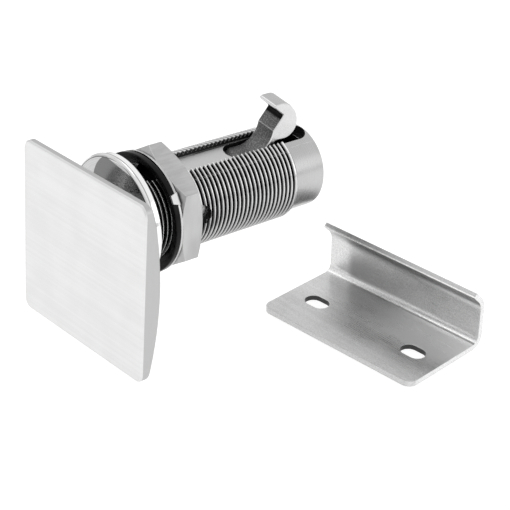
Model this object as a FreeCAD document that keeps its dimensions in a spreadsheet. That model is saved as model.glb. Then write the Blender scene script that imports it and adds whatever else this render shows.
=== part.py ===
"""Flush pull latch: a square pull plate, a threaded barrel with a sprung hook, and its strike plate.

The frame: the origin is on the barrel's axis at the rear face of its flange, where the panel seats.
+Y runs along the barrel, from the panel to its rear end. +Z is up and the pull plate faces -Y.
The barrel and all that it holds are turned about +Y by barrel_turn against the pull plate, and every
piece of theirs is drawn upright first: its own X runs across the hook and its own Z along the hook.
"""

import FreeCAD
import Part

import math
import os

X_AXIS = FreeCAD.Vector(1, 0, 0)
Y_AXIS = FreeCAD.Vector(0, 1, 0)
Z_AXIS = FreeCAD.Vector(0, 0, 1)
ALONG_X = FreeCAD.Rotation(Y_AXIS, 90).multiply(FreeCAD.Rotation(Z_AXIS, 135))
ALONG_Y = FreeCAD.Rotation(X_AXIS, -90)

SIZES = {
    # pull plate
    "plate_width": 54.2,
    "plate_height": 52.0,
    "plate_drop": 9.0,
    "plate_edge": 1.95,
    "plate_bulge": 3.35,
    "plate_corner": 3.0,
    "plate_chamfer": 0.45,
    "plate_standoff": 12.4,
    "neck_radius": 6.5,
    "neck_gap": 0.3,
    # barrel
    "flange_radius": 18.5,
    "flange_thickness": 2.4,
    "flange_edge": 0.9,
    "facet_height": 16.85,
    "facet_lean": 17.0,
    "front_wall": 3.0,
    "thread_radius": 13.5,
    "thread_pitch": 1.5,
    "thread_depth": 0.92,
    "thread_crest": 0.25,
    "thread_end": 53.0,
    "barrel_length": 65.0,
    "plain_radius": 12.3,
    "plain_chamfer": 0.6,
    "bore_radius": 9.8,
    "barrel_turn": 9.2,
    "key_half_width": 4.1,
    "key_floor": 11.0,
    "key_front": 2.0,
    "slot_half_width": 3.8,
    "slot_front": 35.6,
    "slot_rear": 64.3,
    "plug_thickness": 2.2,
    "plug_inset": 0.3,
    # hook and its pins
    "hook_half_width": 3.45,
    "hook_chamfer": 0.25,
    "throat_along": 52.2,
    "throat_height": 21.2,
    "hub_radius": 4.0,
    "pivot_along": 18.6,
    "pivot_height": 3.1,
    "pivot_radius": 2.2,
    "pivot_half_length": 10.8,
    "pivot_recess_radius": 2.7,
    "pivot_recess_start": 11.2,
    "cam_along": 31.0,
    "cam_height": 1.5,
    "cam_radius": 1.5,
    "cam_half_length": 8.2,
    "pull_travel": 5.0,
    "hook_swing": 16.0,
    # plunger and stem
    "plunger_front": 11.0,
    "plunger_bridge": 3.3,
    "plunger_rear": 39.0,
    "cheek_gap": 0.15,
    "stem_radius": 4.0,
    "stem_socket": 7.9,
    "spigot_radius": 2.5,
    "set_screw_radius": 1.5,
    "set_screw_length": 2.2,
    "set_screw_socket": 0.8,
    "bush_radius": 6.0,
    "bush_collar_radius": 8.6,
    "bush_collar_thickness": 0.8,
    "ring_section": 1.2,
    "wire_radius": 0.5,
    "spring_radius": 6.3,
    "spring_turns": 4.0,
    # panel parts
    "gasket_front": 6.1,
    "gasket_thickness": 1.65,
    "gasket_radius": 17.2,
    "gasket_bore_radius": 15.4,
    "washer_thickness": 0.7,
    "washer_radius": 17.1,
    "tab_root_width": 3.5,
    "tab_tip_width": 2.3,
    "tab_reach": 2.6,
    "tab_angle": 42.0,
    "nut_flats": 32.8,
    "nut_thickness": 7.15,
    "nut_angle": 31.85,
    # strike plate
    "strike_length": 57.7,
    "strike_depth": 30.4,
    "strike_sheet": 1.6,
    "strike_bend": 2.4,
    "strike_corner": 3.15,
    "strike_wall": 10.85,
    "lip_bend": 5.0,
    "lip_angle": 45.0,
    "lip_straight": 3.27,
    "strike_slot_spacing": 37.4,
    "strike_slot_setback": 13.4,
    "strike_slot_width": 5.5,
    "strike_slot_length": 8.2,
    "strike_x": 3.95,
    "strike_y": 51.25,
    "strike_z": -41.63,
    "strike_roll": 3.8,
    "strike_pitch": 0.4,
    "strike_yaw": 4.2,
    # clearances
    "running_gap": 0.05,
    "press_gap": 0.02,
    "loose_gap": 0.1,
}

doc = FreeCAD.newDocument("flush_latch")
sheet = doc.addObject("Spreadsheet::Sheet", "sizes")
for row, (alias, value) in enumerate(SIZES.items(), start=1):
    sheet.set("A%d" % row, alias)
    sheet.set("B%d" % row, str(value))
    sheet.setAlias("B%d" % row, alias)
doc.recompute()

nodes = []


def size(alias):
    """Read one driving dimension from the sheet."""
    return float(sheet.get(alias))


def bind(obj, **rules):
    """Bind an object's properties to expressions, with sheet names written as #name."""
    for name, rule in rules.items():
        path = name.replace("base_", "Placement.Base.")
        obj.setExpression(path, str(rule).replace("#", "sizes."))
    return obj


def cylinder_y(name, radius, start, length):
    """A cylinder round the barrel's axis."""
    obj = doc.addObject("Part::Cylinder", name)
    obj.Placement = FreeCAD.Placement(FreeCAD.Vector(), ALONG_Y)
    return bind(obj, Radius=radius, Height=length, base_y=start)


def cylinder_x(name, radius, start, length, along, height):
    """A cylinder that runs across the hook, along X."""
    obj = doc.addObject("Part::Cylinder", name)
    obj.Placement = FreeCAD.Placement(FreeCAD.Vector(), ALONG_X)
    return bind(obj, Radius=radius, Height=length, base_x=start, base_y=along, base_z=height)


def cylinder_z(name, radius, along, start, length):
    """A cylinder that stands on the barrel's centre plane, along Z."""
    obj = doc.addObject("Part::Cylinder", name)
    return bind(obj, Radius=radius, Height=length, base_y=along, base_z=start)


def box(name, across, along, up):
    """A box from (start, length) pairs along X, Y and Z."""
    obj = doc.addObject("Part::Box", name)
    bind(obj, base_x=across[0], Length=across[1], base_y=along[0], Width=along[1])
    return bind(obj, base_z=up[0], Height=up[1])


def join(name, *pieces):
    """One solid from touching or overlapping pieces."""
    obj = doc.addObject("Part::MultiFuse", name)
    obj.Shapes = list(pieces)
    obj.Refine = True
    return obj


def cut(name, base, *tools):
    """The base less its tools."""
    tool = tools[0] if len(tools) == 1 else join(name + "_tools", *tools)
    obj = doc.addObject("Part::Cut", name)
    obj.Base = base
    obj.Tool = tool
    return obj


def meet(name, *pieces):
    """The solid that all the pieces share."""
    obj = doc.addObject("Part::MultiCommon", name)
    obj.Shapes = list(pieces)
    return obj


def formed(name, shape):
    """A solid that is worked out point by point from the sheet."""
    obj = doc.addObject("Part::Feature", name)
    obj.Shape = shape
    return obj


def turned(obj):
    """Turn a piece of the barrel group about the barrel's axis."""
    obj.Placement = FreeCAD.Placement(FreeCAD.Vector(), FreeCAD.Rotation(Y_AXIS, size("barrel_turn")))
    obj.setExpression("Placement.Rotation.Angle", "sizes.barrel_turn")
    return obj


def node(obj, label):
    """Keep an object as one of the part's pieces, under its own name."""
    obj.Label = label
    nodes.append(obj)
    return obj


def outline(place, start, steps):
    """A closed face from straight steps (a point) and round steps (a point passed, and an end)."""
    edges = []
    here = start
    for step in steps:
        if len(step) == 3:
            passed, end = step[1], step[2]
            edges.append(Part.Arc(place(*here), place(*passed), place(*end)).toShape())
        else:
            end = step
            edges.append(Part.LineSegment(place(*here), place(*end)).toShape())
        here = end
    if math.dist(here, start) > 1e-6:
        edges.append(Part.LineSegment(place(*here), place(*start)).toShape())
    return Part.Face(Part.Wire(edges))


def in_section(radius, along):
    """A point of a turned profile: distance from the barrel's axis, and place along it."""
    return FreeCAD.Vector(0, along, radius)


def in_plan(across, along):
    """A point of a flat outline: place across the barrel's axis, and place along it."""
    return FreeCAD.Vector(across, along, 0)


def corner_arc(centre, radius, first, last):
    """The middle and end of a round step about a centre, from one angle to another, in degrees."""
    middle = math.radians((first + last) / 2)
    end = math.radians(last)
    return (
        "round",
        (centre[0] + radius * math.cos(middle), centre[1] + radius * math.sin(middle)),
        (centre[0] + radius * math.cos(end), centre[1] + radius * math.sin(end)),
    )


# Driving values that the formed pieces and the panel stack share

THREAD_RADIUS = size("thread_radius")
THREAD_PITCH = size("thread_pitch")
LOOSE = size("loose_gap")


def thread_steps(last):
    """Points (radius, place) of V grooves at the thread's pitch, from the flange to the last place."""
    crest = THREAD_RADIUS
    root = THREAD_RADIUS - size("thread_depth")
    flank = size("thread_depth") * math.tan(math.radians(30))
    root_flat = THREAD_PITCH - size("thread_crest") - 2 * flank
    steps = []
    groove = size("thread_crest")
    while groove + THREAD_PITCH < last:
        steps.append((crest, groove))
        steps.append((root, groove + flank))
        steps.append((root, groove + flank + root_flat))
        steps.append((crest, groove + 2 * flank + root_flat))
        groove += THREAD_PITCH
    steps.append((crest, last))
    return steps


# Pull plate: flat front, back rounded about a line along X, and a neck on the barrel's axis

plate_front = "-#plate_standoff"
plate_back_radius = "((#plate_height / 2) ^ 2 + #plate_bulge ^ 2) / (2 * #plate_bulge)"
plate_middle = "(#plate_edge + #plate_bulge)"

plate_block = box(
    "plate_block",
    ("-#plate_width / 2", "#plate_width"),
    (plate_front, plate_middle),
    ("-#plate_drop - #plate_height / 2", "#plate_height"),
)
plate_round = doc.addObject("Part::Cylinder", "plate_round")
plate_round.Placement = FreeCAD.Placement(FreeCAD.Vector(), ALONG_X)
bind(
    plate_round,
    Radius=plate_back_radius,
    Height="#plate_width * 2",
    base_x="-#plate_width",
    base_y=plate_front + " + " + plate_middle + " - " + plate_back_radius,
    base_z="-#plate_drop",
)
doc.recompute()


def edge_list(shape, wanted, amount):
    """Numbers of the edges that pass a test, each with its fillet or chamfer size twice."""
    return [(i, amount, amount) for i, edge in enumerate(shape.Edges, start=1) if wanted(edge)]


def runs_along_y(edge):
    """True for a straight edge along Y."""
    first, last = edge.Vertexes[0].Point, edge.Vertexes[-1].Point
    return abs((last - first).y) > 0.9 * edge.Length


plate_corners = doc.addObject("Part::Fillet", "plate_corners")
plate_corners.Base = plate_block
plate_corners.Edges = edge_list(plate_block.Shape, runs_along_y, size("plate_corner"))
plate_blank = meet("plate_blank", plate_corners, plate_round)
doc.recompute()


def on_plate_front(edge):
    """True for an edge of the plate's front face."""
    return abs(edge.BoundBox.YMax + size("plate_standoff")) < 1e-4


plate_eased = doc.addObject("Part::Chamfer", "plate_eased")
plate_eased.Base = plate_blank
plate_eased.Edges = edge_list(plate_blank.Shape, on_plate_front, size("plate_chamfer"))

neck_end = "-#flange_thickness - #neck_gap"
neck_start = plate_front + " + #plate_edge"
plate_neck = cylinder_y("plate_neck", "#neck_radius", neck_start, f"({neck_end}) - ({neck_start})")
socket_start = f"({neck_end}) - #stem_socket"
plate_socket = cylinder_y("plate_socket", "#stem_radius + #press_gap", socket_start, "#stem_socket * 2")
set_screw_along = f"({neck_end}) - #set_screw_radius * 1.5"
set_screw_hole = cylinder_z(
    "set_screw_hole",
    "#set_screw_radius + #press_gap",
    set_screw_along,
    "-#neck_radius * 1.5",
    "#neck_radius * 1.5",
)
node(
    cut("plate_cut", join("plate_body", plate_eased, plate_neck), plate_socket, set_screw_hole),
    "front_plate",
)

set_screw_start = "-#stem_radius - #press_gap - #set_screw_length"
set_screw_pin = cylinder_z(
    "set_screw_pin", "#set_screw_radius", set_screw_along, set_screw_start, "#set_screw_length"
)
set_screw_key = doc.addObject("Part::Prism", "set_screw_key")
set_screw_key.Polygon = 6
bind(
    set_screw_key,
    Circumradius="#set_screw_socket",
    Height="#set_screw_length / 2",
    base_y=set_screw_along,
    base_z=set_screw_start,
)
node(cut("set_screw_cut", set_screw_pin, set_screw_key), "plate_set_screw")

# Stem: held in the plate's neck, it runs through the bush and ends in the plunger's bridge

stem_start = socket_start + " + #loose_gap"
stem_shaft = cylinder_y("stem_shaft", "#stem_radius", stem_start, f"#plunger_front - ({stem_start})")
stem_spigot = cylinder_y(
    "stem_spigot", "#spigot_radius", "#plunger_front - 1", "#plunger_bridge + 1 - #loose_gap"
)
node(join("stem_join", stem_shaft, stem_spigot), "pull_stem")

# Stem bush in the barrel's front wall, with a collar under the spring and a groove for the seal

wall_rear = "(#front_wall - #flange_thickness)"
seal_middle = f"({wall_rear} - #front_wall / 2)"
bush_tube = cylinder_y("bush_tube", "#bush_radius", "-#flange_thickness + #loose_gap", "#front_wall")
bush_collar = cylinder_y("bush_collar", "#bush_collar_radius", wall_rear, "#bush_collar_thickness")
bush_bore = cylinder_y(
    "bush_bore", "#stem_radius + #running_gap", "-#flange_thickness - 1", "#front_wall * 3"
)
bush_groove = cylinder_y(
    "bush_groove",
    "#stem_radius + #running_gap + #ring_section + #loose_gap",
    f"{seal_middle} - #ring_section / 2 - #loose_gap",
    "#ring_section + 2 * #loose_gap",
)
node(turned(cut("bush_cut", join("bush_body", bush_tube, bush_collar), bush_bore, bush_groove)), "stem_bush")

seal = doc.addObject("Part::Torus", "seal")
seal.Placement = FreeCAD.Placement(FreeCAD.Vector(), ALONG_Y)
bind(
    seal,
    Radius1="#stem_radius + #running_gap + #ring_section / 2",
    Radius2="#ring_section / 2",
    base_y=seal_middle,
)
node(seal, "stem_o_ring")

# Return spring: one round wire between the bush's collar and the plunger

spring_start = size("front_wall") - size("flange_thickness") + size("bush_collar_thickness")
spring_room = size("plunger_front") - spring_start
helix_rise = spring_room - 2 * size("wire_radius") - 2 * size("press_gap")
helix = Part.makeHelix(helix_rise / size("spring_turns"), helix_rise, size("spring_radius"))
wire_circle = Part.Circle(FreeCAD.Vector(size("spring_radius"), 0, 0), Y_AXIS, size("wire_radius"))
wire_section = Part.Wire([wire_circle.toShape()])
spring_tube = Part.Wire(helix.Edges).makePipeShell([wire_section], True, True)
spring = formed("spring", spring_tube)
spring_lift = spring_start + size("wire_radius") + size("press_gap")
spring.Placement = FreeCAD.Placement(FreeCAD.Vector(0, spring_lift, 0), ALONG_Y)
node(spring, "return_spring")

# Plunger: a bridge that the stem pulls, and two cheeks with a guide slot and a slanted cam slot

plunger_blank = cylinder_y(
    "plunger_blank", "#bore_radius - #running_gap", "#plunger_front", "#plunger_rear - #plunger_front"
)
cheek_inner = "(#hook_half_width + #cheek_gap)"
cheek_start = "(#plunger_front + #plunger_bridge)"
plunger_throat = box(
    "plunger_throat",
    (f"-{cheek_inner}", f"{cheek_inner} * 2"),
    (cheek_start, "#plunger_rear"),
    ("-#bore_radius * 2", "#bore_radius * 4"),
)
spigot_bore = cylinder_y(
    "spigot_bore", "#spigot_radius + #press_gap", "#plunger_front - 1", "#plunger_bridge * 3"
)


def slot_x(name, radius, start, run, rise):
    """A straight slot across the cheeks, from a start point along a run and a rise."""
    reach = size("bore_radius")
    middle = math.hypot(run, rise)
    near = Part.makeCylinder(radius, 2 * reach, FreeCAD.Vector(-reach, *start), X_AXIS)
    far_point = (start[0] + run, start[1] + rise)
    far = Part.makeCylinder(radius, 2 * reach, FreeCAD.Vector(-reach, *far_point), X_AXIS)
    bar = Part.makeBox(2 * reach, middle, 2 * radius, FreeCAD.Vector(-reach, 0, -radius))
    bar.rotate(FreeCAD.Vector(), X_AXIS, math.degrees(math.atan2(rise, run)))
    bar.translate(FreeCAD.Vector(0, *start))
    return formed(name, near.fuse([far, bar]).removeSplitter())


def cam_shift():
    """How far the cam pin moves, along and up, when the hook swings down by its whole range."""
    swing = math.radians(size("hook_swing"))
    along = size("cam_along") - size("pivot_along")
    up = size("cam_height") - size("pivot_height")
    new_along = along * math.cos(swing) + up * math.sin(swing)
    new_up = up * math.cos(swing) - along * math.sin(swing)
    return new_along - along, new_up - up


shift_along, shift_up = cam_shift()
guide_slot = slot_x(
    "guide_slot",
    size("pivot_radius") + LOOSE,
    (size("pivot_along"), size("pivot_height")),
    size("pull_travel"),
    0,
)
cam_slot = slot_x(
    "cam_slot",
    size("cam_radius") + LOOSE,
    (size("cam_along"), size("cam_height")),
    size("pull_travel") + shift_along,
    shift_up,
)
node(
    turned(cut("plunger_cut", plunger_blank, plunger_throat, spigot_bore, guide_slot, cam_slot)),
    "plunger",
)

# Hook: a lever on the pivot pin, and a shank that rises through the slot to a round-backed head

pivot = (size("pivot_along"), size("pivot_height"))
hub = size("hub_radius")
throat = (size("throat_along"), size("throat_height"))
lever_top = (size("slot_front") + 2.0, size("bore_radius") - 1.1)
lever_bottom = pivot[1] - hub
hook_half = size("hook_half_width")


def from_throat(along, height, radius):
    """A corner of the hook's head, measured from the deepest point of its throat."""
    return (throat[0] + along, throat[1] + height, radius)


def toward(here, there, distance):
    """The point at a distance from one point on the way to another."""
    part = distance / math.dist(here, there)
    return (here[0] + (there[0] - here[0]) * part, here[1] + (there[1] - here[1]) * part)


def rounded_steps(corners):
    """Steps for outline() round a ring of corners (along, height, radius), and its start point."""
    steps = []
    for i, (along, height, radius) in enumerate(corners):
        here = (along, height)
        before = corners[i - 1][:2]
        after = corners[(i + 1) % len(corners)][:2]
        if radius == 0:
            steps.append(here)
            continue
        first = toward(here, before, 1)
        last = toward(here, after, 1)
        half = math.asin(math.dist(first, last) / 2)
        reach = radius / math.tan(half)
        middle = ((first[0] + last[0]) / 2, (first[1] + last[1]) / 2)
        steps.append(toward(here, before, reach))
        bow = toward(here, middle, radius / math.sin(half) - radius)
        steps.append(("round", bow, toward(here, after, reach)))
    return steps[0], steps[1:]


hook_corners = [
    (pivot[0] - hub, pivot[1] + hub, hub),
    (*lever_top, 1.0),
    (lever_top[0] + 1.9, lever_top[1] + 1.4, 1.0),
    from_throat(-2.85, -11.1, 6.3),
    from_throat(-2.95, -4.45, 0),
    from_throat(0, 0, 0.6),
    from_throat(-5.2, 4.0, 0.6),
    from_throat(0.6, 4.2, 5.0),
    from_throat(5.5, -0.7, 8.0),
    from_throat(6.55, -8.3, 4.0),
    from_throat(-1.4, -7.9, 0.8),
    from_throat(-3.5, -15.4, 6.0),
    (lever_top[0] - 4.4, lever_bottom - 1.0, 6.0),
    (pivot[0] - hub, lever_bottom, hub),
]


def in_hook(along, height):
    """A point of the hook's side outline, from its place along the barrel and its height."""
    return FreeCAD.Vector(-hook_half, along, height)


hook_face = outline(in_hook, *rounded_steps(hook_corners))
hook_blank = hook_face.extrude(FreeCAD.Vector(2 * hook_half, 0, 0))


def on_hook_side(edge):
    """True for an edge of one of the hook's two side faces."""
    bounds = edge.BoundBox
    return bounds.XLength < 1e-4 and abs(abs(bounds.Center.x) - hook_half) < 1e-4


side_edges = [edge for edge in hook_blank.Edges if on_hook_side(edge)]
hook_form = formed("hook_form", hook_blank.makeChamfer(size("hook_chamfer"), side_edges))
hub_hole = cylinder_x(
    "hub_hole",
    "#pivot_radius + #running_gap",
    "-#bore_radius",
    "2 * #bore_radius",
    "#pivot_along",
    "#pivot_height",
)
cam_hole = cylinder_x(
    "cam_hole",
    "#cam_radius + #press_gap",
    "-#bore_radius",
    "2 * #bore_radius",
    "#cam_along",
    "#cam_height",
)
node(turned(cut("hook_cut", hook_form, hub_hole, cam_hole)), "hook")


def turned_pin(name, radius, half_length, along, height):
    """A pin across the barrel, in the turned barrel group."""
    pin = doc.addObject("Part::Cylinder", name)
    pin.Placement = FreeCAD.Placement(FreeCAD.Vector(), FreeCAD.Rotation(Y_AXIS, 90 + size("barrel_turn")))
    pin.setExpression("Placement.Rotation.Angle", "90 + sizes.barrel_turn")
    bind(
        pin,
        Radius=radius,
        Height="2 * " + half_length,
        base_x=f"{height} * sin(#barrel_turn) - {half_length} * cos(#barrel_turn)",
        base_y=along,
        base_z=f"{height} * cos(#barrel_turn) + {half_length} * sin(#barrel_turn)",
    )
    return node(pin, name)


turned_pin("cam_pin", "#cam_radius", "#cam_half_length", "#cam_along", "#cam_height")
turned_pin("pivot_pin", "#pivot_radius", "#pivot_half_length", "#pivot_along", "#pivot_height")

# Barrel: flange, thread and plain end in one turning, then bored, slotted, keyed and cross-drilled

flange_front = -size("flange_thickness")
wall_back = flange_front + size("front_wall")
bush_hole = size("bush_radius") + size("press_gap")
flange_centre = (size("flange_radius") - size("flange_edge"), flange_front + size("flange_edge"))
plain_end = size("barrel_length")
shoulder = size("thread_end") + THREAD_RADIUS - size("plain_radius")
barrel_steps = [
    (flange_centre[0], flange_front),
    corner_arc(flange_centre, size("flange_edge"), -90, 0),
    (size("flange_radius"), 0),
    (THREAD_RADIUS, 0),
    *thread_steps(size("thread_end")),
    (size("plain_radius"), shoulder),
    (size("plain_radius"), plain_end - size("plain_chamfer")),
    (size("plain_radius") - size("plain_chamfer"), plain_end),
    (size("bore_radius"), plain_end),
    (size("bore_radius"), wall_back),
    (bush_hole, wall_back),
]
barrel_section = outline(in_section, (bush_hole, flange_front), barrel_steps)
barrel_blank = formed("barrel_blank", barrel_section.revolve(FreeCAD.Vector(), Y_AXIS, 360))

key_room = ("#key_floor", "#flange_radius")
key_start = "(#key_front + #key_half_width)"
keyway = box(
    "keyway",
    ("-#key_half_width", "2 * #key_half_width"),
    (key_start, f"#thread_end - {key_start}"),
    key_room,
)
keyway_end = cylinder_z("keyway_end", "#key_half_width", key_start, *key_room)
slot_room = ("#bore_radius / 2", "#flange_radius")
slot_start = "(#slot_front + #slot_half_width)"
slot_stop = "(#slot_rear - #slot_half_width)"
hook_slot = box(
    "hook_slot",
    ("-#slot_half_width", "2 * #slot_half_width"),
    (slot_start, f"{slot_stop} - {slot_start}"),
    slot_room,
)
slot_front_end = cylinder_z("slot_front_end", "#slot_half_width", slot_start, *slot_room)
slot_rear_end = cylinder_z("slot_rear_end", "#slot_half_width", slot_stop, *slot_room)
pivot_hole = cylinder_x(
    "pivot_hole",
    "#pivot_radius + #press_gap",
    "-#flange_radius",
    "2 * #flange_radius",
    "#pivot_along",
    "#pivot_height",
)
pivot_recesses = [
    cylinder_x(
        "pivot_recess_" + side,
        "#pivot_recess_radius",
        start,
        "#flange_radius",
        "#pivot_along",
        "#pivot_height",
    )
    for side, start in (("near", "#pivot_recess_start"), ("far", "-#pivot_recess_start - #flange_radius"))
]
facet_top = size("flange_radius") + 1
facet_back = flange_front + (facet_top - size("facet_height")) * math.tan(math.radians(size("facet_lean")))
facet_section = outline(
    in_section,
    (size("facet_height"), flange_front),
    [(facet_top, facet_back), (facet_top, flange_front - 1), (size("facet_height"), flange_front - 1)],
)
facet_section.translate(FreeCAD.Vector(-size("flange_radius"), 0, 0))
facet_wedge = formed(
    "facet_wedge", facet_section.extrude(FreeCAD.Vector(2 * size("flange_radius"), 0, 0))
)
barrel_faceted = cut("barrel_faceted", barrel_blank, facet_wedge)
barrel_keyed = cut("barrel_keyed", barrel_faceted, keyway, keyway_end)
barrel_slotted = cut("barrel_slotted", barrel_keyed, hook_slot, slot_front_end, slot_rear_end)
barrel_drilled = cut("barrel_drilled", barrel_slotted, pivot_hole)
barrel_near = cut("barrel_near", barrel_drilled, pivot_recesses[0])
node(turned(cut("barrel_cut", barrel_near, pivot_recesses[1])), "barrel")

# End plug: a disc pressed in the barrel's rear end, which closes the bore behind the hook

node(
    cylinder_y(
        "end_plug",
        "#bore_radius - #press_gap",
        "#barrel_length - #plug_inset - #plug_thickness",
        "#plug_thickness",
    ),
    "end_plug",
)

# Panel parts: rubber gasket, tab washer and thin nut

thread_clear = "(#thread_radius + #loose_gap)"
washer_front = "(#gasket_front + #gasket_thickness)"
nut_front = "(#gasket_front + #gasket_thickness + #washer_thickness)"
gasket_disc = cylinder_y("gasket_disc", "#gasket_radius", "#gasket_front", "#gasket_thickness")
gasket_bore = cylinder_y("gasket_bore", "#gasket_bore_radius", "0", "#thread_end")
node(cut("gasket_cut", gasket_disc, gasket_bore), "panel_gasket")


def washer_tab():
    """The bent tab: drawn at the washer's rim, narrowed towards its tip and turned to its place."""
    inner = size("gasket_radius") + size("press_gap")
    outer = inner + size("washer_thickness")
    rear = size("gasket_front") + size("gasket_thickness") + size("washer_thickness")
    tip = rear - size("tab_reach")
    root = size("washer_radius") - 2 * size("washer_thickness")
    bend = (inner, rear - size("washer_thickness"))
    steps = [
        (root, rear),
        (inner, rear),
        corner_arc(bend, size("washer_thickness"), 90, 0),
        (outer, tip),
        (inner, tip),
        (inner, rear - size("washer_thickness")),
    ]
    face = outline(in_section, (root, rear - size("washer_thickness")), steps)
    root_half = size("tab_root_width") / 2
    tip_half = size("tab_tip_width") / 2
    face.translate(FreeCAD.Vector(-root_half, 0, 0))
    strip = face.extrude(FreeCAD.Vector(2 * root_half, 0, 0))
    taper = outline(
        in_plan,
        (-root_half, rear),
        [(root_half, rear), (root_half, bend[1]), (tip_half, tip), (-tip_half, tip), (-root_half, bend[1])],
    )
    tab = strip.common(taper.extrude(FreeCAD.Vector(0, 0, 2 * outer)))
    tab.rotate(FreeCAD.Vector(), Y_AXIS, 90 - size("tab_angle"))
    return tab


washer_disc = cylinder_y("washer_disc", "#washer_radius", washer_front, "#washer_thickness")
washer_bore = cylinder_y("washer_bore", thread_clear, "0", "#thread_end")
washer_key = box(
    "washer_key",
    ("-#key_half_width + #loose_gap", "2 * #key_half_width - 2 * #loose_gap"),
    (washer_front, "#washer_thickness"),
    ("#key_floor + #loose_gap", "#washer_radius - 1 - #key_floor"),
)
washer_ring = cut("washer_ring", washer_disc, washer_bore)
node(
    turned(join("washer_join", washer_ring, washer_key, formed("bent_tab", washer_tab()))),
    "tab_washer",
)

nut_hexagon = doc.addObject("Part::Prism", "nut_hexagon")
nut_hexagon.Polygon = 6
nut_hexagon.Placement = FreeCAD.Placement(FreeCAD.Vector(), ALONG_Y)
bind(nut_hexagon, Circumradius="#nut_flats / sqrt(3)", Height="#nut_thickness", base_y=nut_front)


def cone_y(name, first_radius, last_radius, start, length):
    """A cone round the barrel's axis."""
    obj = doc.addObject("Part::Cone", name)
    obj.Placement = FreeCAD.Placement(FreeCAD.Vector(), ALONG_Y)
    return bind(obj, Radius1=first_radius, Radius2=last_radius, Height=length, base_y=start)


face_radius = "#nut_flats / 2"
wide_radius = "#nut_flats / 2 + #nut_thickness * sqrt(3)"
nut_front_ease = cone_y("nut_front_ease", face_radius, wide_radius, nut_front, "#nut_thickness")
nut_rear_ease = cone_y("nut_rear_ease", wide_radius, face_radius, nut_front, "#nut_thickness")
nut_bore = cylinder_y("nut_bore", thread_clear, "0", "#thread_end")
nut_mouth = cone_y(
    "nut_mouth",
    f"{thread_clear} - #nut_thickness / 2",
    f"{thread_clear} + #washer_thickness",
    f"{nut_front} + #nut_thickness / 2 - #washer_thickness",
    "#nut_thickness / 2 + #washer_thickness",
)
nut_blank = meet("nut_blank", nut_hexagon, nut_front_ease, nut_rear_ease)
nut = cut("nut_cut", nut_blank, nut_bore, nut_mouth)
nut.Placement = FreeCAD.Placement(FreeCAD.Vector(), FreeCAD.Rotation(-Y_AXIS, size("nut_angle")))
nut.setExpression("Placement.Rotation.Angle", "sizes.nut_angle")
node(nut, "hex_nut")

# Strike plate: bent sheet with a rounded heel, a standing wall and a lip that leans over the base


def in_strike(depth, height):
    """A point of the strike's end outline, from its depth behind the front edge and its height."""
    return FreeCAD.Vector(0, depth, height)


sheet_thickness = size("strike_sheet")
wall_face = size("strike_depth")
heel = (wall_face - size("strike_bend"), size("strike_bend"))
curl = (wall_face - size("lip_bend"), size("strike_wall"))
lip_angle = size("lip_angle")


def past_curl(radius):
    """The end of the lip's straight stretch, at a radius from the curl's centre."""
    angle = math.radians(lip_angle)
    reach = size("lip_straight")
    return (
        curl[0] + radius * math.cos(angle) - reach * math.sin(angle),
        curl[1] + radius * math.sin(angle) + reach * math.cos(angle),
    )


outer_curl = size("lip_bend") + sheet_thickness
outer_curl_end = (
    curl[0] + outer_curl * math.cos(math.radians(lip_angle)),
    curl[1] + outer_curl * math.sin(math.radians(lip_angle)),
)
strike_steps = [
    (heel[0], 0),
    corner_arc(heel, size("strike_bend"), -90, 0),
    (wall_face, curl[1]),
    corner_arc(curl, size("lip_bend"), 0, lip_angle),
    past_curl(size("lip_bend")),
    past_curl(outer_curl),
    outer_curl_end,
    corner_arc(curl, outer_curl, lip_angle, 0),
    (wall_face + sheet_thickness, heel[1]),
    corner_arc(heel, size("strike_bend") + sheet_thickness, 0, -90),
    (0, -sheet_thickness),
]
strike_face = outline(in_strike, (0, 0), strike_steps)
strike_blank = formed(
    "strike_blank", strike_face.extrude(FreeCAD.Vector(size("strike_length"), 0, 0))
)


def at_front_corner(edge):
    """True for one of the two short standing edges at the strike's front."""
    bounds = edge.BoundBox
    return bounds.YMax < 1e-4 and abs(bounds.ZLength - sheet_thickness) < 1e-4


strike_rounded = doc.addObject("Part::Fillet", "strike_rounded")
strike_rounded.Base = strike_blank
strike_rounded.Edges = edge_list(strike_blank.Shape, at_front_corner, size("strike_corner"))

slot_half_run = "((#strike_slot_length - #strike_slot_width) / 2)"
slot_depth = ("-2 * #strike_sheet", "4 * #strike_sheet")


def screw_slot(name, side):
    """An obround screw slot along the strike's length, on one side of its middle."""
    middle = f"(#strike_length / 2 + {side} * #strike_slot_spacing / 2)"
    bar = box(
        name + "_bar",
        (f"{middle} - {slot_half_run}", f"2 * {slot_half_run}"),
        ("#strike_slot_setback - #strike_slot_width / 2", "#strike_slot_width"),
        slot_depth,
    )
    ends = []
    for end in (-1, 1):
        round_end = cylinder_z(
            f"{name}_end{len(ends)}", "#strike_slot_width / 2", "#strike_slot_setback", *slot_depth
        )
        ends.append(bind(round_end, base_x=f"{middle} + {end} * {slot_half_run}"))
    return [bar, *ends]


strike = cut("strike_cut", strike_rounded, *screw_slot("left_slot", -1), *screw_slot("right_slot", 1))
strike.Placement = FreeCAD.Placement(
    FreeCAD.Vector(size("strike_x"), size("strike_y"), size("strike_z")),
    FreeCAD.Rotation(size("strike_yaw"), size("strike_pitch"), size("strike_roll")),
)
bind(strike, base_x="#strike_x", base_y="#strike_y", base_z="#strike_z")
node(strike, "strike_plate")

# Check every piece, then write each one to its own file

doc.recompute()
for obj in doc.Objects:
    if "Invalid" in obj.State or "Error" in obj.State:
        raise RuntimeError(f"{obj.Name} did not compute: {obj.State}")
for piece in nodes:
    shape = piece.Shape
    if shape.isNull() or not shape.isValid() or len(shape.Solids) != 1 or shape.Volume <= 0:
        raise RuntimeError(f"{piece.Label} is not one valid solid")

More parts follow.
